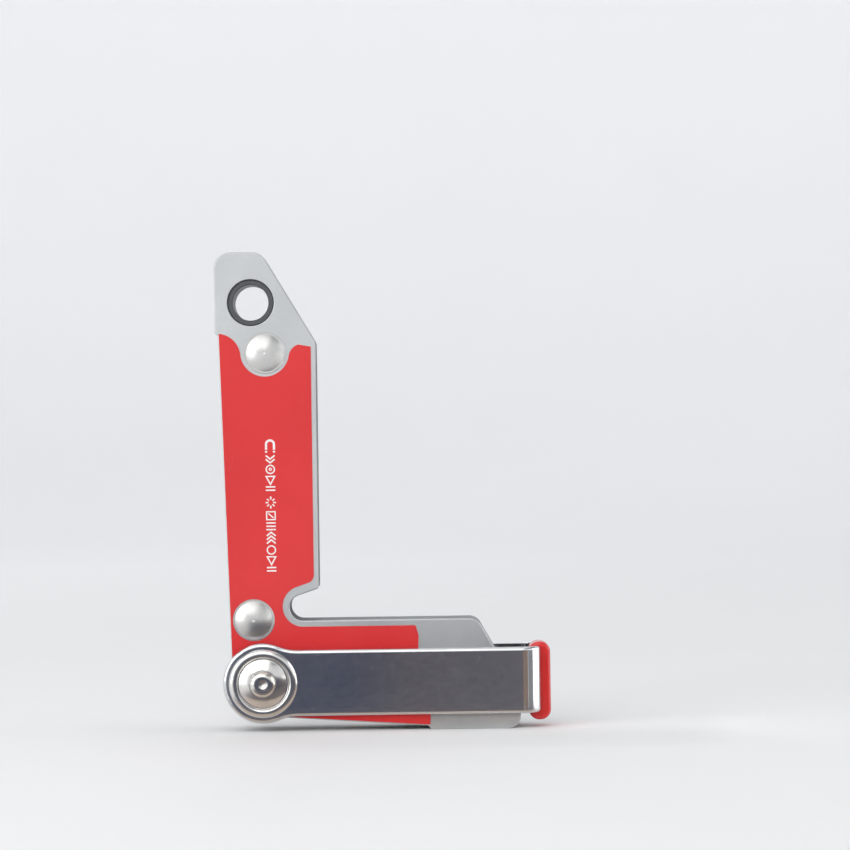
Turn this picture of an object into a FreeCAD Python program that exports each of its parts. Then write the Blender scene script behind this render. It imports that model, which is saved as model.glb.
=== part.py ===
import FreeCAD, Part
import math
import os

# Ninety-degree welding magnet holder with a U-shaped release lever.
#
# Two L-shaped zinc-plated steel side plates clamp a plastic core and five
# ferrite blocks. A bright steel strap, bent to a U, straddles the short leg.
# It turns on a screw at the outer corner and has a red plastic grip on its end.
#
# Row frame: +Z up along the long leg, +X along the short leg, -Y is the front.
# The origin is at the middle of the bottom of the whole object's box.
# The shapes are drawn about the lever's pivot and moved to the row frame at
# the end. All sizes are in millimetres.

V = FreeCAD.Vector

# ---------------------------------------------------------------- dimensions
# body, about the pivot
LONG_PAD_X = -14.0          # outer face of the long leg's pad
SHORT_PAD_Z = -15.3         # outer face of the short leg's pad
TOP_Z = 136.4               # end of the long leg
END_X = 81.3                # end of the short leg
INNER_X = 17.8              # inner face of the long leg
INNER_Z = 19.6              # inner face of the short leg
HEEL_X, HEEL_Z = -9.5, -9.9         # relieved outer corner
LONG_STEP_Z = 110.8         # where the long pad begins
LONG_RELIEF_X = -12.94      # relieved edge just below the long pad
SHORT_STEP_X = 52.9         # where the short pad begins
SHORT_RELIEF_Z = -14.1      # relieved edge just beside the short pad
TOP_TAPER_X = 0.7           # taper from the top edge ...
TOP_TAPER_Z = 107.6         # ... down to the inner face
END_TAPER_X = 67.9          # taper from the inner face ...
END_TAPER_Z = -4.1          # ... down to the end face
NOTCH_X, NOTCH_Z, NOTCH_R = 12.7, 23.7, 4.1     # weld relief notch
NOTCH_SLANT = 18.7          # slope of the notch's upper edge, degrees

CORE_HALF = 6.0             # half of the core's thickness
PLATE_T = 2.0               # side plate thickness
PLATE_EDGE_R = 0.35         # rounded outside edges of the plates
CORE_INSET = 1.0            # core set back from the plates' edges
LABEL_T = 0.15
LABEL_INSET = 0.28          # label set back from the relieved outer edges

HOLE_X, HOLE_Z = -2.5, 120.4        # hanging hole
HOLE_R = 7.4                # hole in the plates
BUSH_BORE_R = 5.65
BUSH_HALF = 7.2             # half of the bush's length

RIVET_1 = (1.9, 104.4)      # upper rivet
RIVET_2 = (-2.75, 20.0)      # lower rivet
RIVET_SHANK_R = 2.4
RIVET_HEAD_R = 6.5
RIVET_HEAD_H = 2.2
SPACER_R = 4.4              # spacer tubes between the plates
FIT = 0.05                  # radial room round pins and tubes

# magnets: (x low, x high, z low, z high)
MAGNETS = {
    "long_leg_magnet_upper": (-8.4, 12.6, 77.0, 95.0),
    "long_leg_magnet_middle": (-7.9, 13.1, 56.0, 74.0),
    "long_leg_magnet_lower": (-7.4, 13.6, 35.0, 53.0),
    "short_leg_magnet_inner": (22.0, 40.0, -7.6, 15.4),
    "short_leg_magnet_outer": (43.0, 61.0, -8.8, 14.2),
}
POCKET_GAP = 0.1            # room round a magnet in its pocket

# lever
EYE_R = 12.7                # rounded end of each arm
STRAP_HALF = 10.5           # half of the strap's width
EYE_BLEND_X = 11.0          # where the eye has narrowed to the strap
STRAP_T = 1.5
ARM_IN_Y = 8.6              # inner face of each arm
BEND_R = 6.0                # outer radius of the strap's bends
WEB_X = 88.1                # outer face of the strap's end web
STRAP_EDGE_OUT = 1.12       # rounded edges of the strap
STRAP_EDGE_IN = 0.25
GRIP_X0, GRIP_X1 = 84.0, 91.0
GRIP_Z0, GRIP_Z1 = -13.1, 11.7
GRIP_HALF_Y = 4.7
GRIP_CORNER_R = 3.3
GRIP_EDGE_R = 1.2

# pivot
PIVOT_R = 2.5
ARM_HOLE_R = 2.55
FRICTION_R = 9.0
FRICTION_T = 0.5
CUP_GAP = 0.1               # play between arm and cup washer
CUP_T = 0.6
CUP_FLANGE_R = 10.8
CUP_DOME_R = 7.5
CUP_TOP_R = 4.45
CUP_RIM_R, CUP_RIM_H = 9.35, 1.05   # crest of its rolled rim
CUP_H = 1.9                 # dome's height over its seat
HEAD_R = 4.25
HEAD_H = 2.5
SOCKET_AF = 4.0
SOCKET_DEPTH = 1.9
NUT_AF = 8.0
NUT_H = 2.5

# row frame
SHIFT = V(-(LONG_PAD_X + GRIP_X1) / 2.0, 0, -SHORT_PAD_Z)

# --------------------------------------------------------------- small tools


def rounded_wire(points):
    """Closed wire in the XZ plane through (x, z, corner radius) points."""
    n = len(points)
    corners = []
    for i in range(n):
        x0, z0 = points[i - 1][:2]
        x1, z1, r = points[i]
        x2, z2 = points[(i + 1) % n][:2]
        a = V(x0 - x1, 0, z0 - z1)
        b = V(x2 - x1, 0, z2 - z1)
        a.normalize()
        b.normalize()
        here = V(x1, 0, z1)
        if r <= 0:
            corners.append((here, None, here))
            continue
        half = math.acos(max(-1.0, min(1.0, a.dot(b)))) / 2.0
        run = r / math.tan(half)
        mid = a + b
        mid.normalize()
        centre = here + mid * (r / math.sin(half))
        corners.append((here + a * run, centre - mid * r, here + b * run))
    edges = []
    for i in range(n):
        start, via, end = corners[i]
        if via is not None:
            edges.append(Part.Arc(start, via, end).toShape())
        nxt = corners[(i + 1) % n][0]
        if (nxt - end).Length > 1e-6:
            edges.append(Part.LineSegment(end, nxt).toShape())
    return Part.Wire(edges)


def slab(wire, y0, y1):
    """Solid between y0 and y1 over a wire drawn in the XZ plane."""
    face = Part.Face(wire)
    face.translate(V(0, y0, 0))
    return face.extrude(V(0, y1 - y0, 0))


def rod(x, z, r, y0, y1):
    return Part.makeCylinder(r, y1 - y0, V(x, y0, z), V(0, 1, 0))


def box(x0, x1, y0, y1, z0, z1):
    return Part.makeBox(x1 - x0, y1 - y0, z1 - z0, V(x0, y0, z0))


def turned(profile, x, z):
    """Revolve an (r, y) profile about the Y axis through (x, z).

    Profile entries are ("l", r, y) for a straight run to a point, or
    ("a", r_via, y_via, r, y) for an arc."""
    edges = []
    start = V(profile[0][1], profile[0][2], 0)
    at = start
    for step in profile[1:]:
        if step[0] == "l":
            to = V(step[1], step[2], 0)
            edges.append(Part.LineSegment(at, to).toShape())
        else:
            to = V(step[3], step[4], 0)
            edges.append(Part.Arc(at, V(step[1], step[2], 0), to).toShape())
        at = to
    if (at - start).Length > 1e-6:
        edges.append(Part.LineSegment(at, start).toShape())
    solid = Part.Face(Part.Wire(edges)).revolve(V(0, 0, 0), V(0, 1, 0), 360)
    if solid.Volume < 0:
        solid.reverse()
    solid.translate(V(x, 0, z))
    return solid


def hex_rod(af, x, z, y0, y1):
    rad = af / math.sqrt(3.0)
    pts = [V(x + rad * math.cos(math.radians(60 * k + 15)), y0,
             z + rad * math.sin(math.radians(60 * k + 15))) for k in range(7)]
    pts[6] = pts[0]
    return Part.Face(Part.makePolygon(pts)).extrude(V(0, y1 - y0, 0))


def solid_of(shape):
    """The one solid in a shape."""
    found = shape.Solids
    if len(found) != 1:
        raise ValueError("expected one solid, found %d" % len(found))
    return found[0]


# ------------------------------------------------------------------ L outline
outline = rounded_wire([
    (LONG_PAD_X, TOP_Z, 5.2),
    (TOP_TAPER_X, TOP_Z, 4.2),
    (INNER_X, TOP_TAPER_Z, 3.0),
    (INNER_X, INNER_Z, 0),
    (END_TAPER_X, INNER_Z, 4.2),
    (END_X, END_TAPER_Z, 3.0),
    (END_X, SHORT_PAD_Z, 3.9),
    (SHORT_STEP_X, SHORT_PAD_Z, 0.7),
    (SHORT_STEP_X - 0.9, SHORT_RELIEF_Z, 0.9),
    (HEEL_X, HEEL_Z, 5.0),
    (LONG_RELIEF_X, LONG_STEP_Z - 0.9, 0.9),
    (LONG_PAD_X, LONG_STEP_Z, 0.7),
])


def notch_tool(grow, y0, y1):
    """Weld relief notch in the inner corner, grown outwards by grow."""
    r = NOTCH_R + grow
    s, c = math.sin(math.radians(NOTCH_SLANT)), math.cos(math.radians(NOTCH_SLANT))
    tx, tz = NOTCH_X - s * r, NOTCH_Z + c * r
    far = INNER_X + 6.0
    low = NOTCH_Z - r
    wire = Part.makePolygon([
        V(NOTCH_X, 0, low), V(far, 0, low), V(far, 0, tz + (far - tx) * s / c),
        V(tx, 0, tz), V(NOTCH_X, 0, NOTCH_Z), V(NOTCH_X, 0, low)])
    return slab(wire, y0, y1).fuse(rod(NOTCH_X, NOTCH_Z, r, y0, y1))


def round_notch_lip(shape, x, r):
    """Round the sharp corner where the notch opens into the inner face."""
    picked = []
    for e in shape.Edges:
        b = e.BoundBox
        if (b.XMax - b.XMin < 1e-4 and b.ZMax - b.ZMin < 1e-4 and
                abs(b.XMin - x) < 1e-3 and
                NOTCH_Z + 3 < b.ZMin < NOTCH_Z + 9):
            picked.append(e)
    return shape.makeFillet(r, picked)


def side_plate(sign):
    y0, y1 = sorted((sign * CORE_HALF, sign * (CORE_HALF + PLATE_T)))
    plate = slab(outline, y0, y1).cut(notch_tool(0, y0 - 1, y1 + 1))
    plate = round_notch_lip(solid_of(plate), INNER_X, 0.8)
    outer = sign * (CORE_HALF + PLATE_T)
    rim = [e for e in plate.Edges
           if abs(e.BoundBox.YMin - outer) < 1e-4 and abs(e.BoundBox.YMax - outer) < 1e-4]
    plate = plate.makeFillet(PLATE_EDGE_R, rim)
    holes = [rod(HOLE_X, HOLE_Z, HOLE_R, y0 - 1, y1 + 1),
             rod(RIVET_1[0], RIVET_1[1], RIVET_SHANK_R + FIT, y0 - 1, y1 + 1),
             rod(RIVET_2[0], RIVET_2[1], RIVET_SHANK_R + FIT, y0 - 1, y1 + 1),
             rod(0, 0, PIVOT_R + FIT, y0 - 1, y1 + 1)]
    for h in holes:
        plate = plate.cut(h)
    # small broken edge round the hanging hole
    mouth = [e for e in plate.Edges
             if abs(e.BoundBox.YMin - outer) < 1e-4 and abs(e.BoundBox.YMax - outer) < 1e-4
             and abs(e.BoundBox.XMax - e.BoundBox.XMin - 2 * HOLE_R) < 0.2
             and abs(e.BoundBox.ZMax - e.BoundBox.ZMin - 2 * HOLE_R) < 0.2]
    plate = plate.makeFillet(0.25, mouth)
    return solid_of(plate)


def core_spacer():
    face = Part.Face(outline).makeOffset2D(-CORE_INSET)
    face.translate(V(0, -CORE_HALF, 0))
    core = face.extrude(V(0, 2 * CORE_HALF, 0))
    core = core.cut(notch_tool(CORE_INSET, -CORE_HALF - 1, CORE_HALF + 1))
    core = core.cut(rod(HOLE_X, HOLE_Z, HOLE_R + FIT, -9, 9))
    for x, z in (RIVET_1, RIVET_2, (0, 0)):
        core = core.cut(rod(x, z, SPACER_R + FIT, -9, 9))
    for x0, x1, z0, z1 in MAGNETS.values():
        g = POCKET_GAP
        core = core.cut(box(x0 - g, x1 + g, -9, 9, z0 - g, z1 + g))
    return solid_of(core)


def magnet(name):
    x0, x1, z0, z1 = MAGNETS[name]
    block = box(x0, x1, -CORE_HALF, CORE_HALF, z0, z1)
    upright = [e for e in block.Edges
               if e.BoundBox.YMax - e.BoundBox.YMin > CORE_HALF]
    return solid_of(block.makeFillet(0.8, upright))


def label(sign):
    """Red vinyl sticker over the middle of one side plate."""
    y0, y1 = sorted((sign * (CORE_HALF + PLATE_T), sign * (CORE_HALF + PLATE_T + LABEL_T)))
    i = LABEL_INSET
    ring_r = 6.45
    ring_x, ring_z = NOTCH_X + 0.15, NOTCH_Z + 0.45
    s, c = math.sin(math.radians(NOTCH_SLANT)), math.cos(math.radians(NOTCH_SLANT))
    tx, tz = ring_x - s * ring_r, ring_z + c * ring_r
    right = INNER_X - 1.4
    top_left_x = LONG_RELIEF_X + i
    base = rounded_wire([
        (top_left_x, 110.6, 0),
        (right, 110.6, 0),
        (right, ring_z - ring_r, 0),
        (48.35, ring_z - ring_r, 0.7),
        (49.25, 14.4, 1.5),
        (49.1, 10.5, 3.0),
        (52.75, -11.2, 1.0),
        (52.6, SHORT_RELIEF_Z + i + 0.05, 0.3),
        (HEEL_X + i, HEEL_Z + i, 5.0),
    ])
    sheet = slab(base, y0, y1)
    # room round the notch
    far = right + 4.0
    mouth = Part.makePolygon([
        V(ring_x, 0, ring_z - ring_r), V(far, 0, ring_z - ring_r),
        V(far, 0, tz + (far - tx) * s / c), V(tx, 0, tz),
        V(ring_x, 0, ring_z), V(ring_x, 0, ring_z - ring_r)])
    sheet = sheet.cut(slab(mouth, y0 - 1, y1 + 1))
    sheet = sheet.cut(rod(ring_x, ring_z, ring_r, y0 - 1, y1 + 1))
    sheet = solid_of(sheet)
    lip = [e for e in sheet.Edges
           if e.BoundBox.XMax - e.BoundBox.XMin < 1e-4 and e.BoundBox.ZMax - e.BoundBox.ZMin < 1e-4
           and abs(e.BoundBox.XMin - right) < 1e-3 and ring_z < e.BoundBox.ZMin < ring_z + 12]
    sheet = sheet.makeFillet(2.6, lip)
    # upper end: a round shoulder, a scallop round the rivet, a second shoulder
    top = Part.Wire([
        Part.LineSegment(V(-20, 0, 120), V(-20, 0, 110.7)).toShape(),
        Part.LineSegment(V(-20, 0, 110.7), V(-12.9, 0, 110.7)).toShape(),
        Part.Arc(V(-12.9, 0, 110.7), V(-8.0, 0, 108.45), V(-5.85, 0, 103.5)).toShape(),
        Part.Arc(V(-5.85, 0, 103.5), V(1.85, 0, 96.95), V(9.35, 0, 103.25)).toShape(),
        Part.Arc(V(9.35, 0, 103.25), V(10.3, 0, 105.5), V(12.4, 0, 106.95)).toShape(),
        Part.LineSegment(V(12.4, 0, 106.95), V(22.0, 0, 105.2)).toShape(),
        Part.LineSegment(V(22.0, 0, 105.2), V(22.0, 0, 120)).toShape(),
        Part.LineSegment(V(22.0, 0, 120), V(-20, 0, 120)).toShape()])
    sheet = sheet.cut(slab(top, y0 - 1, y1 + 1))
    sheet = sheet.cut(rod(RIVET_2[0], RIVET_2[1], RIVET_HEAD_R + 0.15, y0 - 1, y1 + 1))
    sheet = sheet.cut(rod(0, 0, FRICTION_R + 0.4, y0 - 1, y1 + 1))
    return solid_of(sheet)


def rivet(x, z):
    """Rivet with a domed head at each end."""
    seat = CORE_HALF + PLATE_T
    top = seat + RIVET_HEAD_H
    rim = 0.35
    crown = RIVET_HEAD_R - 0.62
    # a point half way along the dome's arc
    h = RIVET_HEAD_H - rim
    big = (crown * crown + h * h) / (2 * h)
    a = math.asin(crown / big) / 2.0
    via_r, via_h = big * math.sin(a), rim + h - big * (1 - math.cos(a))
    profile = [
        ("l", 0, -top),
        ("a", via_r, -(seat + via_h), crown, -(seat + rim)),
        ("l", RIVET_HEAD_R - 0.12, -(seat + rim)),
        ("l", RIVET_HEAD_R, -(seat + rim - 0.12)),
        ("l", RIVET_HEAD_R, -seat),
        ("l", RIVET_SHANK_R, -seat),
        ("l", RIVET_SHANK_R, seat),
        ("l", RIVET_HEAD_R, seat),
        ("l", RIVET_HEAD_R, seat + rim - 0.12),
        ("l", RIVET_HEAD_R - 0.12, seat + rim),
        ("l", crown, seat + rim),
        ("a", via_r, seat + via_h, 0, top),
    ]
    return solid_of(turned(profile, x, z))


def tube(x, z, r_out, r_in, y0, y1, lead=0.0):
    if lead <= 0:
        return solid_of(rod(x, z, r_out, y0, y1).cut(rod(x, z, r_in, y0 - 1, y1 + 1)))
    profile = [("l", r_in + lead, y0), ("l", r_out - lead, y0), ("l", r_out, y0 + lead),
               ("l", r_out, y1 - lead), ("l", r_out - lead, y1), ("l", r_in + lead, y1),
               ("l", r_in, y1 - lead), ("l", r_in, y0 + lead)]
    return solid_of(turned(profile, x, z))


# ---------------------------------------------------------------------- lever
def bail():
    """U-shaped strap: two arms with round eyes, two bends and an end web."""
    out_y = ARM_IN_Y + STRAP_T
    in_r = BEND_R - STRAP_T
    cx, cy = WEB_X - BEND_R, out_y - BEND_R
    k = math.sqrt(0.5)
    back = -EYE_R - 3.0

    def line(a, b):
        return Part.LineSegment(V(a[0], a[1], -20), V(b[0], b[1], -20)).toShape()

    def arc(a, b, c):
        return Part.Arc(V(a[0], a[1], -20), V(b[0], b[1], -20), V(c[0], c[1], -20)).toShape()

    u = Part.Wire([
        line((back, -out_y), (cx, -out_y)),
        arc((cx, -out_y), (cx + BEND_R * k, -cy - BEND_R * k), (WEB_X, -cy)),
        line((WEB_X, -cy), (WEB_X, cy)),
        arc((WEB_X, cy), (cx + BEND_R * k, cy + BEND_R * k), (cx, out_y)),
        line((cx, out_y), (back, out_y)),
        line((back, out_y), (back, ARM_IN_Y)),
        line((back, ARM_IN_Y), (cx, ARM_IN_Y)),
        arc((cx, ARM_IN_Y), (cx + in_r * k, cy + in_r * k), (WEB_X - STRAP_T, cy)),
        line((WEB_X - STRAP_T, cy), (WEB_X - STRAP_T, -cy)),
        arc((WEB_X - STRAP_T, -cy), (cx + in_r * k, -cy - in_r * k), (cx, -ARM_IN_Y)),
        line((cx, -ARM_IN_Y), (back, -ARM_IN_Y)),
        line((back, -ARM_IN_Y), (back, -out_y)),
    ])
    strap = Part.Face(u).extrude(V(0, 0, 40))

    # side view: the eye blends into the strap along two large arcs
    b = EYE_BLEND_X
    blend = (b * b + STRAP_HALF ** 2 - EYE_R ** 2) / (2.0 * (EYE_R - STRAP_HALF))
    bz = STRAP_HALF + blend
    d = math.hypot(b, bz)
    tx, tz = EYE_R * b / d, EYE_R * bz / d
    # a point half way along the blend arc
    a0 = math.atan2(tz - bz, tx - b)
    a1 = -math.pi / 2.0
    am = (a0 + a1) / 2.0
    mx, mz = b + blend * math.cos(am), bz + blend * math.sin(am)
    far = WEB_X + 4.0
    side = Part.Wire([
        Part.Arc(V(tx, 0, -tz), V(-EYE_R, 0, 0), V(tx, 0, tz)).toShape(),
        Part.Arc(V(tx, 0, tz), V(mx, 0, mz), V(b, 0, STRAP_HALF)).toShape(),
        Part.LineSegment(V(b, 0, STRAP_HALF), V(far, 0, STRAP_HALF)).toShape(),
        Part.LineSegment(V(far, 0, STRAP_HALF), V(far, 0, -STRAP_HALF)).toShape(),
        Part.LineSegment(V(far, 0, -STRAP_HALF), V(b, 0, -STRAP_HALF)).toShape(),
        Part.Arc(V(b, 0, -STRAP_HALF), V(mx, 0, -mz), V(tx, 0, -tz)).toShape(),
    ])
    strap = solid_of(strap.common(slab(side, -15, 15)))

    def rim_edges(shape, y_face, bend_r, web):
        """Edges of the strap's outline that lie on one of its two skins."""
        picked = []
        for e in shape.Edges:
            lo, hi = e.ParameterRange
            pts = [e.valueAt(lo + (hi - lo) * t) for t in (0.0, 0.25, 0.5, 0.75, 1.0)]

            def on_skin(p):
                if p.x <= cx + 1e-6:
                    return abs(abs(p.y) - y_face) < 1e-4
                if abs(p.y) <= cy + 1e-6:
                    return abs(p.x - web) < 1e-4
                return abs(math.hypot(p.x - cx, abs(p.y) - cy) - bend_r) < 1e-4

            across = (e.BoundBox.ZMax - e.BoundBox.ZMin > 15 and
                      e.BoundBox.XMax - e.BoundBox.XMin < 1e-3)
            if all(on_skin(p) for p in pts) and not across:
                picked.append(e)
        return picked

    strap = strap.makeFillet(STRAP_EDGE_OUT, rim_edges(strap, out_y, BEND_R, WEB_X))
    strap = strap.makeFillet(STRAP_EDGE_IN, rim_edges(strap, ARM_IN_Y, in_r, WEB_X - STRAP_T))
    strap = strap.cut(rod(0, 0, ARM_HOLE_R, -20, 20))
    return solid_of(strap)


def bail_grip(strap):
    """Plastic sleeve moulded round the strap's end web."""
    body = box(GRIP_X0, GRIP_X1, -GRIP_HALF_Y, GRIP_HALF_Y, GRIP_Z0, GRIP_Z1)
    side = [e for e in body.Edges if e.BoundBox.YMax - e.BoundBox.YMin > GRIP_HALF_Y]
    body = body.makeFillet(GRIP_CORNER_R, side)
    rest = [e for e in body.Edges
            if e.BoundBox.YMax - e.BoundBox.YMin < 1e-4]
    body = body.makeFillet(GRIP_EDGE_R, rest)
    return solid_of(body.cut(strap))


# ---------------------------------------------------------------------- pivot
def cup_washer(sign):
    """Thin domed spring washer, open underneath, with a rolled rim against the arm."""
    seat = ARM_IN_Y + STRAP_T + CUP_GAP
    t = CUP_T
    bore = PIVOT_R + FIT
    knee = 0.5
    profile = [
        ("l", bore, seat + CUP_H - t),
        ("l", bore, seat + CUP_H),
        ("l", CUP_TOP_R, seat + CUP_H),
        # the dome falls away more steeply towards the groove
        ("a", CUP_TOP_R + 0.55 * (CUP_DOME_R - CUP_TOP_R), seat + t + 0.54 * (CUP_H - t),
         CUP_DOME_R, seat + t - 0.05),
        # groove
        ("a", CUP_DOME_R + 0.28, seat + t - 0.12, CUP_DOME_R + 0.55, seat + t - 0.02),
        # rolled rim
        ("a", CUP_RIM_R, seat + CUP_RIM_H, CUP_FLANGE_R - 0.08, seat + 0.26),
        ("l", CUP_FLANGE_R, seat + 0.16),
        ("l", CUP_FLANGE_R, seat),
        ("l", CUP_DOME_R - knee, seat),
        ("l", CUP_TOP_R - 0.1, seat + CUP_H - t),
    ]
    if sign < 0:
        flipped = []
        for p in profile:
            if p[0] == "l":
                flipped.append(("l", p[1], -p[2]))
            else:
                flipped.append(("a", p[1], -p[2], p[3], -p[4]))
        profile = flipped
    return solid_of(turned(profile, 0, 0))


def pivot_screw():
    """Button-head screw, head at the front, with a hexagon socket."""
    seat = ARM_IN_Y + STRAP_T + CUP_GAP + CUP_H
    top = seat + HEAD_H
    tail = seat + NUT_H - 0.3
    profile = [
        ("l", 0, -top),
        ("l", 2.5, -top),
        ("a", 3.7, -(top - 0.6), HEAD_R, -(seat + 0.45)),
        ("l", HEAD_R, -seat),
        ("l", PIVOT_R, -seat),
        ("l", PIVOT_R, tail - 0.4),
        ("l", PIVOT_R - 0.4, tail),
        ("l", 0, tail),
    ]
    screw = turned(profile, 0, 0)
    screw = screw.cut(hex_rod(SOCKET_AF, 0, 0, -(top + 1), -(top - SOCKET_DEPTH)))
    cone = Part.makeCone(0.0, SOCKET_AF * 0.56, 0.8, V(0, -(top - SOCKET_DEPTH - 0.55), 0), V(0, -1, 0))
    return solid_of(screw.cut(cone))


def pivot_nut():
    """Thin hexagon nut with chamfered corners, at the rear."""
    seat = ARM_IN_Y + STRAP_T + CUP_GAP + CUP_H
    top = seat + NUT_H
    nut = hex_rod(NUT_AF, 0, 0, seat, top)
    r = NUT_AF / math.sqrt(3.0)
    c = 0.3
    shell = turned([("l", 0, seat), ("l", r + 0.2 - c, seat), ("l", r + 0.2, seat + c * 0.6),
                    ("l", r + 0.2, top - c * 0.6), ("l", r + 0.2 - c, top), ("l", 0, top)], 0, 0)
    nut = nut.common(shell)
    nut = nut.cut(rod(0, 0, PIVOT_R + 0.02, seat - 1, top + 1))
    mouth = Part.makeCone(PIVOT_R + 0.02, PIVOT_R + 0.62, 0.6, V(0, top - 0.6, 0), V(0, 1, 0))
    return solid_of(nut.cut(mouth))


# ------------------------------------------------------------------- assembly
parts = {}
parts["front_side_plate"] = side_plate(-1)
parts["rear_side_plate"] = side_plate(1)
parts["front_label"] = label(-1)
parts["rear_label"] = label(1)
parts["core_spacer"] = core_spacer()
for name in MAGNETS:
    parts[name] = magnet(name)
parts["hang_hole_bush"] = tube(HOLE_X, HOLE_Z, HOLE_R - FIT, BUSH_BORE_R, -BUSH_HALF, BUSH_HALF, 0.3)
parts["upper_rivet"] = rivet(*RIVET_1)
parts["lower_rivet"] = rivet(*RIVET_2)
parts["upper_rivet_spacer"] = tube(RIVET_1[0], RIVET_1[1], SPACER_R, RIVET_SHANK_R + FIT, -CORE_HALF, CORE_HALF)
parts["lower_rivet_spacer"] = tube(RIVET_2[0], RIVET_2[1], SPACER_R, RIVET_SHANK_R + FIT, -CORE_HALF, CORE_HALF)
parts["pivot_spacer"] = tube(0, 0, SPACER_R, PIVOT_R + FIT, -CORE_HALF, CORE_HALF)
washer_in = CORE_HALF + PLATE_T
parts["front_friction_washer"] = tube(0, 0, FRICTION_R, PIVOT_R + FIT, -(washer_in + FRICTION_T), -washer_in)
parts["rear_friction_washer"] = tube(0, 0, FRICTION_R, PIVOT_R + FIT, washer_in, washer_in + FRICTION_T)
parts["front_cup_washer"] = cup_washer(-1)
parts["rear_cup_washer"] = cup_washer(1)
parts["pivot_screw"] = pivot_screw()
parts["pivot_nut"] = pivot_nut()
parts["bail"] = bail()
parts["bail_grip"] = bail_grip(parts["bail"])

os.makedirs("parts", exist_ok=True)
for name, shape in parts.items():
    shape = shape.copy()
    shape.translate(SHIFT)
    if not shape.isValid():
        raise ValueError(name + " is not a valid solid")
    shape.exportStep("parts/" + name + ".step")
    b = shape.BoundBox
    print("%-24s vol %9.1f  x %7.2f %7.2f  y %7.2f %7.2f  z %7.2f %7.2f" % (
        name, shape.Volume, b.XMin, b.XMax, b.YMin, b.YMax, b.ZMin, b.ZMax))
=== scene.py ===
import math
import random

import bmesh
import bpy
from mathutils import Matrix, Vector


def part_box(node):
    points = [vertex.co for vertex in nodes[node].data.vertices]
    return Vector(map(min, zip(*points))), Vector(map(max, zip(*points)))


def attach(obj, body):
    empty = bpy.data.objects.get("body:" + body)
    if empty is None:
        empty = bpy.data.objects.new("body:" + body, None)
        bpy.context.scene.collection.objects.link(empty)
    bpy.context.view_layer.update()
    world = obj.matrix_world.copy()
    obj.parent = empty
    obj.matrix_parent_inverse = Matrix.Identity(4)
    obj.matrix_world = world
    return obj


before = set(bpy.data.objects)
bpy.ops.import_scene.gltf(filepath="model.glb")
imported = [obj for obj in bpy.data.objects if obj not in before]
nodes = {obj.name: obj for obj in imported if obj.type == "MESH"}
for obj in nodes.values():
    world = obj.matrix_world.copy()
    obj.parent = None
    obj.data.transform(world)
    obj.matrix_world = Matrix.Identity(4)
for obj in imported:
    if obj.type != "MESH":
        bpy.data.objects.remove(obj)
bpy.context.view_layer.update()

scene = bpy.context.scene
random.seed(7)

# the pivot's place in the row frame, in metres, from the screw's box
lo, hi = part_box("pivot_screw")
PIVOT = Vector(((lo.x + hi.x) / 2, 0.0, (lo.z + hi.z) / 2))
MM = 0.001


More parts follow.
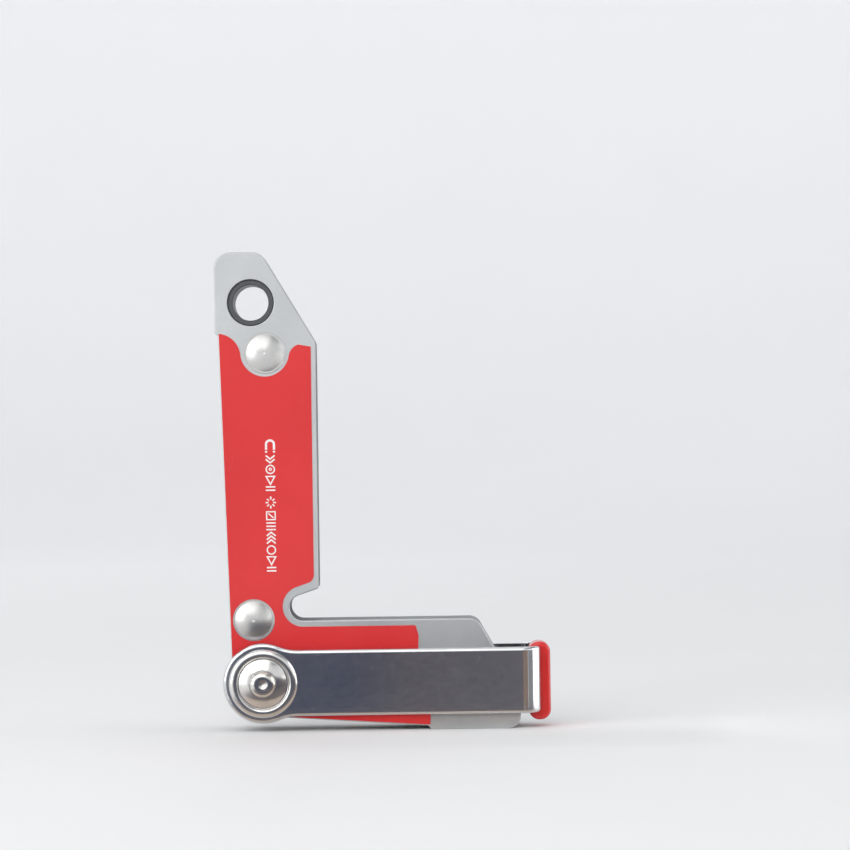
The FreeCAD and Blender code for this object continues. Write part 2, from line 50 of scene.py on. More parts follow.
# ------------------------------------------------------------------ node trees
class Tree:
    """Short helpers round one material's node tree."""

    def __init__(self, name):
        self.mat = bpy.data.materials.new(name)
        self.mat.use_nodes = True
        self.t = self.mat.node_tree
        self.t.nodes.clear()
        self.out = self.t.nodes.new("ShaderNodeOutputMaterial")
        self.bsdf = self.t.nodes.new("ShaderNodeBsdfPrincipled")
        self.t.links.new(self.bsdf.outputs[0], self.out.inputs[0])
        self.coord = self.t.nodes.new("ShaderNodeTexCoord")

    def link(self, a, b):
        self.t.links.new(a, b)

    def set(self, **values):
        for k, v in values.items():
            self.bsdf.inputs[k.replace("_", " ")].default_value = v

    def mapped(self, scale=(1, 1, 1), rotation=(0, 0, 0), location=(0, 0, 0)):
        m = self.t.nodes.new("ShaderNodeMapping")
        m.inputs["Scale"].default_value = scale
        m.inputs["Rotation"].default_value = rotation
        m.inputs["Location"].default_value = location
        self.link(self.coord.outputs["Object"], m.inputs["Vector"])
        return m.outputs[0]

    def noise(self, scale, detail=4.0, rough=0.55, vector=None, distortion=0.0):
        n = self.t.nodes.new("ShaderNodeTexNoise")
        n.inputs["Scale"].default_value = scale
        n.inputs["Detail"].default_value = detail
        n.inputs["Roughness"].default_value = rough
        n.inputs["Distortion"].default_value = distortion
        self.link(vector or self.coord.outputs["Object"], n.inputs["Vector"])
        return n.outputs["Fac"]

    def voronoi(self, scale, feature="F1", vector=None, out="Distance", randomness=1.0):
        n = self.t.nodes.new("ShaderNodeTexVoronoi")
        n.feature = feature
        n.inputs["Scale"].default_value = scale
        n.inputs["Randomness"].default_value = randomness
        self.link(vector or self.coord.outputs["Object"], n.inputs["Vector"])
        return n.outputs[out]

    def ramp(self, fac, stops, interpolation="LINEAR"):
        r = self.t.nodes.new("ShaderNodeValToRGB")
        r.color_ramp.interpolation = interpolation
        while len(r.color_ramp.elements) < len(stops):
            r.color_ramp.elements.new(0.5)
        for e, (p, c) in zip(r.color_ramp.elements, stops):
            e.position = p
            e.color = c if len(c) == 4 else (*c, 1.0)
        self.link(fac, r.inputs[0])
        return r.outputs[0]

    def span(self, fac, a, b, c, d, clamp=True):
        n = self.t.nodes.new("ShaderNodeMapRange")
        n.clamp = clamp
        for i, v in enumerate((a, b, c, d)):
            n.inputs[i + 1].default_value = v
        self.link(fac, n.inputs[0])
        return n.outputs[0]

    def math(self, op, a, b=0.0, c=None):
        n = self.t.nodes.new("ShaderNodeMath")
        n.operation = op
        for i, v in enumerate((a, b) if c is None else (a, b, c)):
            if isinstance(v, (int, float)):
                n.inputs[i].default_value = v
            else:
                self.link(v, n.inputs[i])
        return n.outputs[0]

    def mix(self, fac, a, b, blend="MIX"):
        n = self.t.nodes.new("ShaderNodeMix")
        n.data_type = "RGBA"
        n.blend_type = blend
        for sock, v in ((n.inputs[0], fac), (n.inputs[6], a), (n.inputs[7], b)):
            if isinstance(v, (int, float)):
                sock.default_value = v
            elif isinstance(v, tuple):
                sock.default_value = v if len(v) == 4 else (*v, 1.0)
            else:
                self.link(v, sock)
        return n.outputs[2]

    def bump(self, height, distance, strength=1.0, normal=None):
        b = self.t.nodes.new("ShaderNodeBump")
        b.inputs["Strength"].default_value = strength
        b.inputs["Distance"].default_value = distance
        self.link(height, b.inputs["Height"])
        if normal is not None:
            self.link(normal, b.inputs["Normal"])
        return b.outputs[0]

    def axis(self, output, which):
        s = self.t.nodes.new("ShaderNodeSeparateXYZ")
        self.link(output, s.inputs[0])
        return s.outputs[which]

    def base(self, sock):
        self.link(sock, self.bsdf.inputs["Base Color"])

    def rough(self, sock):
        self.link(sock, self.bsdf.inputs["Roughness"])

    def normal(self, sock):
        self.link(sock, self.bsdf.inputs["Normal"])


def scratches(t, count_scale, length_scale, turn, width=0.012, seed=0.0):
    """A sparse set of fine straight marks, as a 0 to 1 mask."""
    v = t.mapped(scale=(count_scale, count_scale, count_scale / length_scale),
                 rotation=(0, turn, 0), location=(seed, seed * 1.7, seed * 0.6))
    edge = t.voronoi(1.0, "DISTANCE_TO_EDGE", v)
    line = t.span(edge, 0.0, width, 1.0, 0.0)
    patch = t.noise(90.0, 2.0, 0.5, t.mapped(location=(seed * 3, 1.0, seed)))
    keep = t.span(patch, 0.56, 0.66, 0.0, 1.0)
    return t.math("MULTIPLY", line, keep)


def zinc_material():
    """Electro-zinc plated sheet steel: satin grey, softly clouded, sheared edges."""
    t = Tree("zinc_plate_look")
    cloud = t.noise(38.0, 5.0, 0.6)
    fine = t.noise(900.0, 3.0, 0.6)
    grain = t.noise(3200.0, 2.0, 0.5)
    tone = t.ramp(cloud, [(0.25, (0.505, 0.520, 0.528)), (0.5, (0.548, 0.562, 0.568)), (0.78, (0.600, 0.612, 0.615))])
    tone = t.mix(t.span(fine, 0.3, 0.7, 0.0, 0.25), tone, (0.50, 0.515, 0.52))
    mark_a = scratches(t, 150.0, 14.0, 0.35, 0.010, 2.0)
    mark_b = scratches(t, 190.0, 18.0, -0.9, 0.008, 5.0)
    marks = t.math("MAXIMUM", mark_a, mark_b)
    tone = t.mix(t.math("MULTIPLY", marks, 0.12), tone, (0.74, 0.75, 0.75))
    # sheared edge: a bright burnished third, a dull broken remainder, streaked across the sheet
    ny = t.math("ABSOLUTE", t.axis(t.coord.outputs["Normal"], 1))
    on_edge = t.span(ny, 0.35, 0.15, 0.0, 1.0)
    y = t.math("ABSOLUTE", t.axis(t.coord.outputs["Object"], 1))
    streak = t.noise(1.0, 3.0, 0.6, t.mapped(scale=(2600.0, 160.0, 2600.0)))
    tear = t.math("ADD", y, t.math("MULTIPLY", streak, 0.0006))
    broken = t.math("MULTIPLY", on_edge, t.span(tear, 0.00735, 0.00715, 0.0, 1.0))
    tone = t.mix(t.math("MULTIPLY", broken, 0.55), tone, (0.33, 0.335, 0.34))
    t.base(tone)
    r = t.span(cloud, 0.25, 0.75, 0.40, 0.50)
    r = t.math("ADD", r, t.span(fine, 0.25, 0.75, -0.04, 0.05))
    r = t.math("ADD", r, t.math("MULTIPLY", broken, 0.16))
    r = t.math("SUBTRACT", r, t.math("MULTIPLY", marks, 0.05))
    t.rough(r)
    h = t.math("ADD", t.math("MULTIPLY", fine, 0.5), t.math("MULTIPLY", grain, 0.5))
    n = t.bump(h, 0.00006, 0.35)
    n = t.bump(t.math("MULTIPLY", broken, streak), 0.00012, 0.6, n)
    n = t.bump(marks, 0.00001, -0.2, n)
    t.normal(n)
    t.set(Metallic=0.82)
    return t.mat


def vinyl_material():
    """Red printed vinyl sticker with a clear gloss film."""
    t = Tree("red_vinyl_look")
    soft = t.noise(26.0, 3.0, 0.5)
    dots = t.noise(2600.0, 2.0, 0.5)
    tone = t.ramp(soft, [(0.3, (0.610, 0.014, 0.016)), (0.7, (0.672, 0.021, 0.022))])
    tone = t.mix(t.span(dots, 0.35, 0.65, 0.0, 0.12), tone, (0.50, 0.010, 0.013))
    rub = scratches(t, 120.0, 10.0, 0.8, 0.008, 8.0)
    tone = t.mix(t.math("MULTIPLY", rub, 0.12), tone, (0.80, 0.20, 0.20))
    t.base(tone)
    peel = t.noise(520.0, 2.0, 0.45)
    haze = t.noise(60.0, 4.0, 0.6)
    r = t.span(haze, 0.3, 0.7, 0.27, 0.36)
    r = t.math("ADD", r, t.math("MULTIPLY", rub, 0.25))
    t.rough(r)
    n = t.bump(peel, 0.00005, 0.30)
    n = t.bump(t.noise(70.0, 1.0, 0.4), 0.0002, 0.10, n)
    t.normal(n)
    t.set(Coat_Weight=0.22, Coat_Roughness=0.16, IOR=1.48)
    return t.mat


def ink_material():
    """White screen-print ink."""
    t = Tree("white_ink_look")
    fleck = t.noise(1800.0, 3.0, 0.6)
    tone = t.ramp(fleck, [(0.35, (0.76, 0.70, 0.69)), (0.62, (0.86, 0.83, 0.82))])
    t.base(tone)
    t.rough(t.span(fleck, 0.3, 0.7, 0.38, 0.50))
    t.normal(t.bump(fleck, 0.00003, 0.4))
    return t.mat


def nickel_material(name, centre, tone_a, tone_b, rough_a, rough_b):
    """Bright plated fastener: soft tumbled haze and a few nicks, different on each part."""
    t = Tree(name)
    haze = t.noise(260.0, 4.0, 0.6)
    t.base(t.mix(t.span(haze, 0.3, 0.7, 0.0, 1.0), tone_a, tone_b))
    v = t.mapped(location=(centre[0] * 7.0, 0.0, centre[1] * 5.0))
    tumble = t.noise(700.0, 3.0, 0.55, v)
    nicks = scratches(t, 420.0, 9.0, 0.6, 0.02, 3.0)
    r = t.span(haze, 0.3, 0.7, rough_a, rough_b)
    r = t.math("ADD", r, t.math("MULTIPLY", nicks, 0.10))
    t.rough(r)
    n = t.bump(tumble, 0.00002, 0.08)
    n = t.bump(nicks, 0.000005, -0.15, n)
    t.normal(n)
    t.set(Metallic=1.0)
    return t.mat


def strap_material():
    """Polished, plated strap: lengthwise polishing lines, handling haze and a few rubs."""
    t = Tree("bright_strap_look")
    haze = t.noise(42.0, 4.0, 0.55)
    fine = t.noise(420.0, 3.0, 0.6)
    tone = t.mix(t.span(haze, 0.3, 0.7, 0.0, 1.0), (0.70, 0.71, 0.73), (0.78, 0.785, 0.79))
    mottle = t.noise(620.0, 4.0, 0.62)
    speck = t.span(t.noise(1350.0, 2.0, 0.5), 0.66, 0.74, 0.0, 1.0)
    tone = t.mix(t.span(mottle, 0.35, 0.68, 0.0, 0.35), tone, (0.60, 0.605, 0.62))
    t.base(t.mix(t.math("MULTIPLY", speck, 0.5), tone, (0.66, 0.65, 0.64)))
    metal = t.math("SUBTRACT", t.span(mottle, 0.42, 0.72, 1.0, 0.955), t.math("MULTIPLY", speck, 0.14))
    t.link(metal, t.bsdf.inputs["Metallic"])
    lines = t.noise(1.0, 3.0, 0.65, t.mapped(scale=(45.0, 2600.0, 5200.0)))
    rubs = scratches(t, 170.0, 12.0, 1.35, 0.010, 11.0)
    r = t.span(haze, 0.3, 0.7, 0.085, 0.13)
    r = t.math("ADD", r, t.span(fine, 0.3, 0.7, -0.015, 0.02))
    r = t.math("ADD", r, t.math("MULTIPLY", rubs, 0.08))
    t.rough(r)
    n = t.bump(lines, 0.000012, 0.35)
    n = t.bump(fine, 0.00002, 0.14, n)
    n = t.bump(rubs, 0.00001, -0.3, n)
    t.normal(n)
    return t.mat


def grip_material():
    """Glossy red moulded plastic with a fine mould texture and a parting line."""
    t = Tree("red_grip_look")
    swirl = t.noise(60.0, 2.0, 0.45, distortion=0.3)
    t.base(t.ramp(swirl, [(0.3, (0.640, 0.017, 0.016)), (0.7, (0.668, 0.020, 0.019))]))
    tex = t.noise(1100.0, 2.0, 0.5)
    haze = t.noise(150.0, 3.0, 0.5)
    scuff = scratches(t, 260.0, 8.0, 0.2, 0.015, 4.0)
    r = t.span(haze, 0.3, 0.7, 0.21, 0.27)
    t.rough(t.math("ADD", r, t.math("MULTIPLY", scuff, 0.12)))
    z = t.axis(t.coord.outputs["Object"], 1)
    seam = t.span(t.math("ABSOLUTE", z), 0.0, 0.00012, 1.0, 0.0)
    n = t.bump(tex, 0.00001, 0.05)
    n = t.bump(seam, 0.00008, 0.5, n)
    t.normal(n)
    t.set(Coat_Weight=0.3, Coat_Roughness=0.1, IOR=1.5)
    return t.mat


def black_plastic(name, tone, rough_lo, rough_hi, scale=900.0, depth=0.00008):
    t = Tree(name)
    a = t.noise(scale, 3.0, 0.6)
    b = t.noise(55.0, 4.0, 0.6)
    dust = t.noise(2400.0, 2.0, 0.6)
    lo_c = tuple(c * 0.75 for c in tone)
    hi_c = tuple(c * 1.35 for c in tone)
    c = t.ramp(b, [(0.3, lo_c), (0.7, hi_c)])
    c = t.mix(t.span(dust, 0.66, 0.74, 0.0, 0.35), c, (0.22, 0.21, 0.20))
    t.base(c)
    t.rough(t.span(a, 0.3, 0.7, rough_lo, rough_hi))
    t.normal(t.bump(a, depth, 0.5))
    return t.mat


def ferrite_material():
    t = Tree("ferrite_look")
    pits = t.voronoi(700.0)
    grind = t.noise(1.0, 3.0, 0.6, t.mapped(scale=(3000.0, 3000.0, 60.0)))
    t.base(t.ramp(grind, [(0.3, (0.045, 0.045, 0.048)), (0.7, (0.085, 0.085, 0.09))]))
    t.rough(t.span(grind, 0.3, 0.7, 0.45, 0.62))
    n = t.bump(grind, 0.00003, 0.5)
    t.normal(t.bump(t.span(pits, 0.0, 0.2, 0.0, 1.0), 0.00006, 0.4, n))
    return t.mat


def cut_steel_material():
    t = Tree("plain_steel_look")
    lines = t.noise(1.0, 3.0, 0.6, t.mapped(scale=(900.0, 5200.0, 900.0)))
    rust = t.noise(140.0, 4.0, 0.65)
    c = t.ramp(lines, [(0.3, (0.40, 0.39, 0.38)), (0.7, (0.56, 0.555, 0.55))])
    c = t.mix(t.span(rust, 0.62, 0.75, 0.0, 0.4), c, (0.22, 0.12, 0.07))
    t.base(c)
    t.rough(t.span(lines, 0.3, 0.7, 0.30, 0.45))
    t.normal(t.bump(lines, 0.00003, 0.5))
    t.set(Metallic=1.0)
    return t.mat


def nylon_material():
    t = Tree("nylon_look")
    a = t.noise(800.0, 3.0, 0.5)
    b = t.noise(90.0, 3.0, 0.5)
    t.base(t.ramp(b, [(0.3, (0.66, 0.64, 0.58)), (0.7, (0.76, 0.745, 0.69))]))
    t.rough(t.span(a, 0.3, 0.7, 0.38, 0.5))
    t.normal(t.bump(a, 0.00005, 0.3))
    t.set(Subsurface_Weight=0.15)
    t.bsdf.inputs["Subsurface Radius"].default_value = (0.0012, 0.001, 0.0008)
    return t.mat


def dress(name, mat):
    o = nodes[name]
    if not o.data.materials:
        o.data.materials.append(mat)
    for i in range(len(o.material_slots)):
        o.material_slots[i].link = "OBJECT"
        o.material_slots[i].material = mat


def middle(name):
    a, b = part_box(name)
    return ((a.x + b.x) / 2, (a.z + b.z) / 2)


zinc = zinc_material()
vinyl = vinyl_material()
ink = ink_material()
strap = strap_material()
grip_red = grip_material()
core_black = black_plastic("core_black_look", (0.020, 0.020, 0.022), 0.42, 0.60)
bush_grey = black_plastic("bush_black_look", (0.066, 0.071, 0.077), 0.34, 0.50, 1300.0, 0.00005)
ferrite = ferrite_material()
cut_steel = cut_steel_material()
nylon = nylon_material()
bright_a, bright_b = (0.80, 0.79, 0.77), (0.72, 0.705, 0.68)

for n in ("front_side_plate", "rear_side_plate"):
    dress(n, zinc)
for n in ("front_label", "rear_label"):
    dress(n, vinyl)
dress("core_spacer", core_black)
dress("hang_hole_bush", bush_grey)
for n in nodes:
    if "magnet" in n:
        dress(n, ferrite)
for n in ("upper_rivet_spacer", "lower_rivet_spacer", "pivot_spacer"):
    dress(n, cut_steel)
for n in ("front_friction_washer", "rear_friction_washer"):
    dress(n, nylon)
for n in ("upper_rivet", "lower_rivet"):
    dress(n, nickel_material(n + "_look", middle(n), (0.66, 0.655, 0.645), (0.59, 0.58, 0.565), 0.31, 0.38))
for n in ("front_cup_washer", "rear_cup_washer"):
    dress(n, nickel_material(n + "_look", middle(n), bright_a, bright_b, 0.16, 0.24))
dress("pivot_screw", nickel_material("pivot_screw_look", middle("pivot_screw"), (0.80, 0.78, 0.74), (0.70, 0.68, 0.64), 0.15, 0.24))
dress("pivot_nut", nickel_material("pivot_nut_look", middle("pivot_nut"), (0.60, 0.575, 0.53), (0.50, 0.475, 0.44), 0.24, 0.34))
dress("bail", strap)
dress("bail_grip", grip_red)


# ------------------------------------------------------------- printed symbols
def outline_of(path, width, closed=False):
    """Left and right sides of a stroke of even width along a path of 2D points."""
    pts = [Vector(p) for p in path]
    left, right = [], []
    n = len(pts)
    for i, p in enumerate(pts):
        before = pts[i - 1] if (i > 0 or closed) else None
        after = pts[(i + 1) % n] if (i < n - 1 or closed) else None
        dirs = []
        if before is not None:
            dirs.append((p - before).normalized())
        if after is not None:
            dirs.append((after - p).normalized())
        if len(dirs) == 2:
            bis = (dirs[0] + dirs[1]).normalized()
            nor = Vector((-bis.y, bis.x))
            first = Vector((-dirs[0].y, dirs[0].x))
            grow = 1.0 / max(0.35, nor.dot(first))
        else:
            nor = Vector((-dirs[0].y, dirs[0].x))
            grow = 1.0
        left.append(p + nor * width / 2 * grow)
        right.append(p - nor * width / 2 * grow)
    return left, right


def arc(cx, cy, r, a0, a1, steps=14):
    return [(cx + r * math.cos(math.radians(a0 + (a1 - a0) * k / steps)),
             cy + r * math.sin(math.radians(a0 + (a1 - a0) * k / steps))) for k in range(steps + 1)]


def symbols():
    """Generic workshop pictograms in a strip: (kind, points, width) in mm, u along the strip, v across."""
    strokes = []

    def add(u, path, width=0.62, closed=False):
        strokes.append(([(u + a, b) for a, b in path], width, closed))

    def ring(u, v, r, width):
        add(u, arc(r, v, r, 0, 360, 26)[:-1], width, True)

    def triangle(u):
        add(u, [(0.25, 1.35), (2.75, 0.0), (0.25, -1.35)], 0.42, True)

    def box_with_bar(u):
        add(u, [(0.2, 1.35), (2.7, 1.35), (2.7, -1.35), (0.2, -1.35)], 0.40, True)
        add(u, [(0.75, -0.8), (2.15, 0.8)], 0.40)

    def chevrons(u, way, count=2):
        for k in range(count):
            if way > 0:
                add(u + 1.2 * k, [(0.0, 1.4), (1.15, 0.0), (0.0, -1.4)], 0.48)
            else:
                add(u + 1.2 * k, [(1.15, 1.4), (0.0, 0.0), (1.15, -1.4)], 0.48)

    def spark(u):
        add(u, [(0.0, 0.0), (0.95, 0.0)], 0.50)
        add(u, [(2.85, 0.0), (3.8, 0.0)], 0.50)
        for a in (45, 90, 135, 225, 270, 315):
            c, s = math.cos(math.radians(a)), math.sin(math.radians(a))
            add(u, [(1.9 + 0.75 * c, 0.75 * s), (1.9 + 1.65 * c, 1.65 * s)], 0.40)

    def bars(u, count=3):
        for k in range(count):
            add(u, [(0.25 + 1.05 * k, 1.5), (0.25 + 1.05 * k, -1.5)], 0.46)

    # first group: horseshoe magnet with its poles, arrowheads, ring and dot, triangle
    add(0.0, [(3.4, 1.25), (1.7, 1.25)] + arc(1.7, 0.0, 1.25, 90, 270)[1:-1] + [(1.7, -1.25), (3.4, -1.25)], 0.72)
    add(0.0, [(3.75, 1.25), (4.3, 1.25)], 0.72)
    add(0.0, [(3.75, -1.25), (4.3, -1.25)], 0.72)
    chevrons(5.2, 1)
    ring(8.3, 0.0, 1.3, 0.42)
    ring(9.25, 0.0, 0.35, 0.34)
    triangle(11.6)
    bars(14.9, 2)
    # second group: spark, plate with a weld line, bars, arrowheads, rings
    spark(18.2)
    box_with_bar(22.8)
    bars(26.3)
    chevrons(29.5, -1, 3)
    ring(33.8, 0.0, 1.3, 0.42)
    triangle(37.0)
    bars(40.4, 2)
    return strokes


def print_mesh(name, face, side):
    """Raised ink film, 0.03 mm thick, on a label. face is the label's outer y, side is -1 front or 1 rear."""
    bm = bmesh.new()
    thick = 0.03 * MM
    x_mid, z_top = PIVOT.x + 3.1 * MM, PIVOT.z + 77.2 * MM
    for path, width, closed in symbols():
        left, right = outline_of(path, width, closed)
        n = len(left)
        rings = []
        for layer in (0, 1):
            y = face + side * (0.0 if layer == 0 else thick)
            inset = 0.0 if layer == 0 else 0.02
            row = []
            for a, b in zip(left, right):
                m = (a + b) / 2
                pair = []
                for p in (a, b):
                    q = p + (m - p).normalized() * inset
                    # u runs down the leg, v towards the right as the front is seen
                    x = x_mid + (q.y * MM) * (1 if side < 0 else -1)
                    z = z_top - q.x * MM
                    pair.append(bm.verts.new((x, y, z)))
                row.append(pair)
            rings.append(row)
        count = n if closed else n - 1
        for i in range(count):
            j = (i + 1) % n
            b0, b1 = rings[0][i], rings[0][j]
            t0, t1 = rings[1][i], rings[1][j]
            bm.faces.new((t0[0], t1[0], t1[1], t0[1]))
            bm.faces.new((b0[1], b1[1], b1[0], b0[0]))
            bm.faces.new((b0[0], b1[0], t1[0], t0[0]))
            bm.faces.new((t0[1], t1[1], b1[1], b0[1]))
        if not closed:
            for k in (0, n - 1):
                b0, t0 = rings[0][k], rings[1][k]
                bm.faces.new((b0[0], t0[0], t0[1], b0[1]))
    bmesh.ops.recalc_face_normals(bm, faces=bm.faces)
    me = bpy.data.meshes.new(name)
    bm.to_mesh(me)
    bm.free()
    o = bpy.data.objects.new(name, me)
    scene.collection.objects.link(o)
    o.data.materials.append(ink)
    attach(o, "holder_body")
    return o


front_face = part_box("front_label")[0].y
rear_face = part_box("rear_label")[1].y
print_mesh("front_label_print", front_face, -1)
print_mesh("rear_label_print", rear_face, 1)


# ------------------------------------------------------------------ the studio
def bowl():
    """Pale floor that sweeps up into a pale, softly glowing wall all round, like a light tent."""
    bm = bmesh.new()
    floor_r, curve_r, top = 1.35, 0.8, 2.0
    profile = [(0.0, 0.0)] + [(floor_r * k / 6, 0.0) for k in range(1, 7)]
    for k in range(1, 15):
        a = math.radians(90 * k / 14)
        profile.append((floor_r + curve_r * math.sin(a), curve_r * (1 - math.cos(a))))
    profile.append((floor_r + curve_r, top))
    steps = 72
    rings = []
    for r, z in profile:
        if r == 0:
            rings.append([bm.verts.new((0, 0, z))])
        else:
            rings.append([bm.verts.new((r * math.cos(2 * math.pi * s / steps), r * math.sin(2 * math.pi * s / steps), z))
                          for s in range(steps)])
    for a, b in zip(rings, rings[1:]):
        for s in range(steps):
            q = (s + 1) % steps
            if len(a) == 1:
                bm.faces.new((a[0], b[s], b[q]))
            else:
                bm.faces.new((a[s], b[s], b[q], a[q]))
    for f in bm.faces:
        f.smooth = True
    me = bpy.data.meshes.new("studio_floor")
    bm.to_mesh(me)
    bm.free()
    o = bpy.data.objects.new("studio_floor", me)
    scene.collection.objects.link(o)
    t = Tree("studio_floor_look")
    a = t.noise(9.0, 4.0, 0.6)
    t.base(t.ramp(a, [(0.3, (0.815, 0.817, 0.820)), (0.7, (0.827, 0.829, 0.832))]))
    t.rough(t.span(a, 0.3, 0.7, 0.75, 0.85))
    t.normal(t.bump(t.noise(700.0, 2.0, 0.5), 0.0002, 0.05))
    # the wall glows: nothing near the object, more and more outwards and up
    p = t.coord.outputs["Object"]
    x, y, z = t.axis(p, 0), t.axis(p, 1), t.axis(p, 2)
    r = t.math("SQRT", t.math("ADD", t.math("MULTIPLY", x, x), t.math("MULTIPLY", y, y)))
    glow = t.span(r, 0.35, 2.1, 0.0, WALL_GLOW)
    t.bsdf.inputs["Emission Color"].default_value = (0.97, 0.985, 1.0, 1.0)
    t.link(glow, t.bsdf.inputs["Emission Strength"])
    t.mat.cycles.emission_sampling = "NONE"
    o.data.materials.append(t.mat)
    return o


def card(name, corners, tone, glow=0.0, grade=None, fade=()):
    """A studio flag or reflector: only mirror-like surfaces see it.
    grade = (x0, x1, other tone): the tone changes to the other one from x0 to x1.
    fade = ((axis, a, b), ...): along that axis the card thins out, clear at a and solid from b on."""
    me = bpy.data.meshes.new(name)
    me.from_pydata(corners, [], [(0, 1, 2, 3)])
    o = bpy.data.objects.new(name, me)
    scene.collection.objects.link(o)
    m = bpy.data.materials.new(name + "_look")
    m.use_nodes = True
    b = m.node_tree.nodes["Principled BSDF"]
    b.inputs["Base Color"].default_value = (*tone, 1)
    b.inputs["Roughness"].default_value = 1.0
    b.inputs["Specular IOR Level"].default_value = 0.0
    b.inputs["Emission Color"].default_value = (1, 1, 1, 1) if glow > 0.5 else (*tone, 1)
    nt = m.node_tree
    where = nt.nodes.new("ShaderNodeTexCoord")
    split = nt.nodes.new("ShaderNodeSeparateXYZ")
    nt.links.new(where.outputs["Object"], split.inputs[0])
    solid = None
    for axis, clear_at, solid_at in fade:
        step = nt.nodes.new("ShaderNodeMapRange")
        step.interpolation_type = "SMOOTHSTEP"
        step.inputs[1].default_value, step.inputs[2].default_value = min(clear_at, solid_at), max(clear_at, solid_at)
        step.inputs[3].default_value, step.inputs[4].default_value = (0.0, 1.0) if clear_at < solid_at else (1.0, 0.0)
        nt.links.new(split.outputs[axis], step.inputs[0])
        if solid is None:
            solid = step.outputs[0]
        else:
            both = nt.nodes.new("ShaderNodeMath")
            both.operation = "MULTIPLY"
            nt.links.new(solid, both.inputs[0])
            nt.links.new(step.outputs[0], both.inputs[1])
            solid = both.outputs[0]
    if solid is not None:
        nt.links.new(solid, b.inputs["Alpha"])
    if grade:
        span = nt.nodes.new("ShaderNodeMapRange")
        span.interpolation_type = "SMOOTHSTEP"
        span.inputs[1].default_value, span.inputs[2].default_value = grade[0], grade[1]
        both = nt.nodes.new("ShaderNodeMix")
        both.data_type = "RGBA"
        both.inputs[6].default_value, both.inputs[7].default_value = (*tone, 1), (*grade[2], 1)
        nt.links.new(split.outputs[0], span.inputs[0])
        nt.links.new(span.outputs[0], both.inputs[0])
        nt.links.new(both.outputs[2], b.inputs["Base Color"])
    b.inputs["Emission Strength"].default_value = glow
    m.cycles.emission_sampling = "NONE"
    me.materials.append(m)
    o.visible_camera = False
    o.visible_diffuse = False
    o.visible_shadow = False
    o.visible_transmission = False
    return o


def upright(name, a, b, height, tone, glow=0.0, z0=0.0002, grade=None, fade=()):
    """A card that stands on the floor from point a to point b."""
    return card(name, [(a[0], a[1], z0), (b[0], b[1], z0), (b[0], b[1], height), (a[0], a[1], height)],
                tone, glow, grade, fade)


def laid(name, x0, x1, y0, y1, tone, z=0.0003, fade=()):
    """A card that lies on the floor."""
    return card(name, [(x0, y0, z), (x1, y0, z), (x1, y1, z), (x0, y1, z)], tone, fade=fade)


def soft_light(name, place, aim, size, watts, tint=(1, 1, 1)):
    d = bpy.data.lights.new(name, "AREA")
    d.shape = "RECTANGLE"
    d.size, d.size_y = size
    d.energy = watts
    d.color = tint
    o = bpy.data.objects.new(name, d)
    scene.collection.objects.link(o)
    o.location = place
    o.rotation_mode = "QUATERNION"
    o.rotation_quaternion = (Vector(place) - Vector(aim)).to_track_quat("Z", "Y")
    o.visible_camera = False
    return o


WALL_GLOW = 0.24
bowl()
AIM = (0.0, 0.0, 0.07)
soft_light("key_softbox", (-0.45, -0.90, 1.05), AIM, (1.6, 1.3), 8.1, (1.0, 0.995, 0.985))
soft_light("left_softbox", (-0.98, -0.66, 0.30), AIM, (0.50, 0.95), 4.6, (1.0, 1.0, 1.0))
soft_light("top_softbox", (0.05, 0.15, 1.30), (0, 0, 0.05), (1.1, 0.8), 2.2, (1.0, 1.0, 1.0))
soft_light("right_softbox", (1.15, -0.10, 0.50), AIM, (0.8, 0.7), 2.3, (0.985, 0.99, 1.0))
soft_light("back_softbox", (-0.4, 1.15, 0.8), AIM, (0.9, 0.6), 1.5, (1.0, 1.0, 1.0))

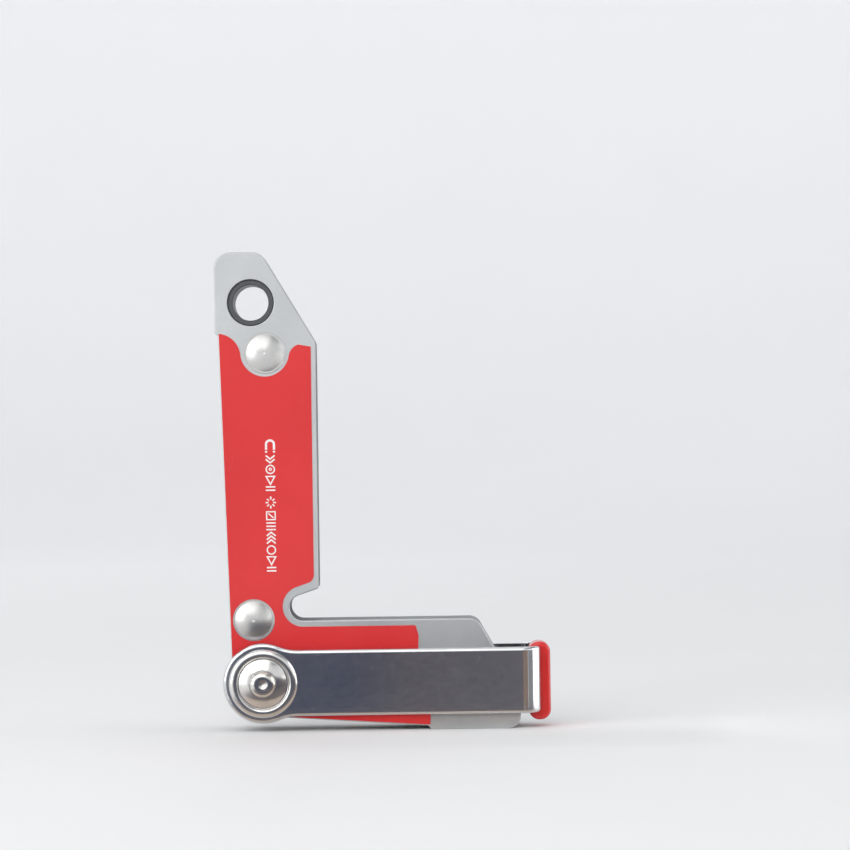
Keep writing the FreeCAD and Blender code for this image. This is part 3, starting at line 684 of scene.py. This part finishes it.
# flags on the floor in front of the lever that only reflections see: dark cards paint a dark reflection on the
# lever's face, a brown card paints a brown reflection on its lower bevel
grip_lo, grip_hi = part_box("bail_grip")
BEND = (grip_lo.x, -0.008)
LEFT_FADE = (0, -0.080, -0.046)
upright("flag_front", (-0.080, -0.060), (BEND[0] + 0.002, -0.060), 0.031, (0.130, 0.150, 0.205),
        grade=(-0.016, 0.010, (0.185, 0.180, 0.205)), fade=(LEFT_FADE, (2, 0.031, 0.0245)))
laid("flag_floor_far", -0.080, BEND[0] + 0.080, -0.060, -0.022, (0.20, 0.185, 0.185),
     fade=(LEFT_FADE, (0, BEND[0] + 0.080, BEND[0] + 0.040)))
laid("flag_floor_near", -0.080, BEND[0] + 0.070, -0.022, -0.0105, (0.66, 0.56, 0.49),
     fade=(LEFT_FADE, (0, BEND[0] + 0.070, BEND[0] + 0.035)))


def ray_card(name, a0, a1, radius, height, tone, glow=0.0):
    """An upright card that the bend of the lever sees between two angles off the straight-ahead line."""
    pts = [(BEND[0] + radius * math.sin(math.radians(a)), BEND[1] - radius * math.cos(math.radians(a))) for a in (a0, a1)]
    return upright(name, pts[0], pts[1], height, tone, glow)


# cards that only reflections see, painting the bands on the lever's bend: brown, grey, a glowing white highlight
# band, pale grey, and a glowing spot farther out that paints a small highlight
ray_card("bend_brown", 1, 31, 0.058, 0.030, (0.36, 0.27, 0.22))
ray_card("bend_grey", 33, 64, 0.062, 0.030, (0.34, 0.35, 0.36))
ray_card("bend_white", 66, 113, 0.075, 0.060, (0.9, 0.9, 0.9), 1.3)
ray_card("painted_glint_spot", 40, 52, 0.36, 0.11, (0.9, 0.9, 0.9), 1.5)
ray_card("bend_pale", 116, 142, 0.070, 0.034, (0.50, 0.51, 0.52))

world = bpy.data.worlds.new("studio_world")
world.use_nodes = True
world.node_tree.nodes["Background"].inputs[0].default_value = (0.92, 0.96, 1.0, 1)
world.node_tree.nodes["Background"].inputs[1].default_value = 0.34
scene.world = world

# ------------------------------------------------------------------ the camera
cam_data = bpy.data.cameras.new("camera")
cam = bpy.data.objects.new("camera", cam_data)
scene.collection.objects.link(cam)
DISTANCE = 0.90
FRAME_W = 0.2688            # width that the picture spans at the front plate
plate_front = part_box("front_side_plate")[0].y
aim = Vector((PIVOT.x + 52.2 * MM, plate_front, PIVOT.z + 80.95 * MM))
cam.location = aim + Vector((0, -DISTANCE, 0))
cam_data.sensor_width = 36.0
cam_data.lens = 36.0 * DISTANCE / FRAME_W
cam_data.clip_start, cam_data.clip_end = 0.01, 20.0
cam_data.dof.use_dof = False
cam.rotation_mode = "QUATERNION"
look = Vector((0, 1, 0)).to_track_quat("-Z", "Y")
roll = Matrix.Rotation(math.radians(-0.79), 4, "Z").to_quaternion()
cam.rotation_quaternion = look @ roll
scene.camera = cam

scene.view_settings.view_transform = "Standard"
scene.view_settings.look = "None"
scene.view_settings.exposure = 0.0
scene.view_settings.gamma = 1.0
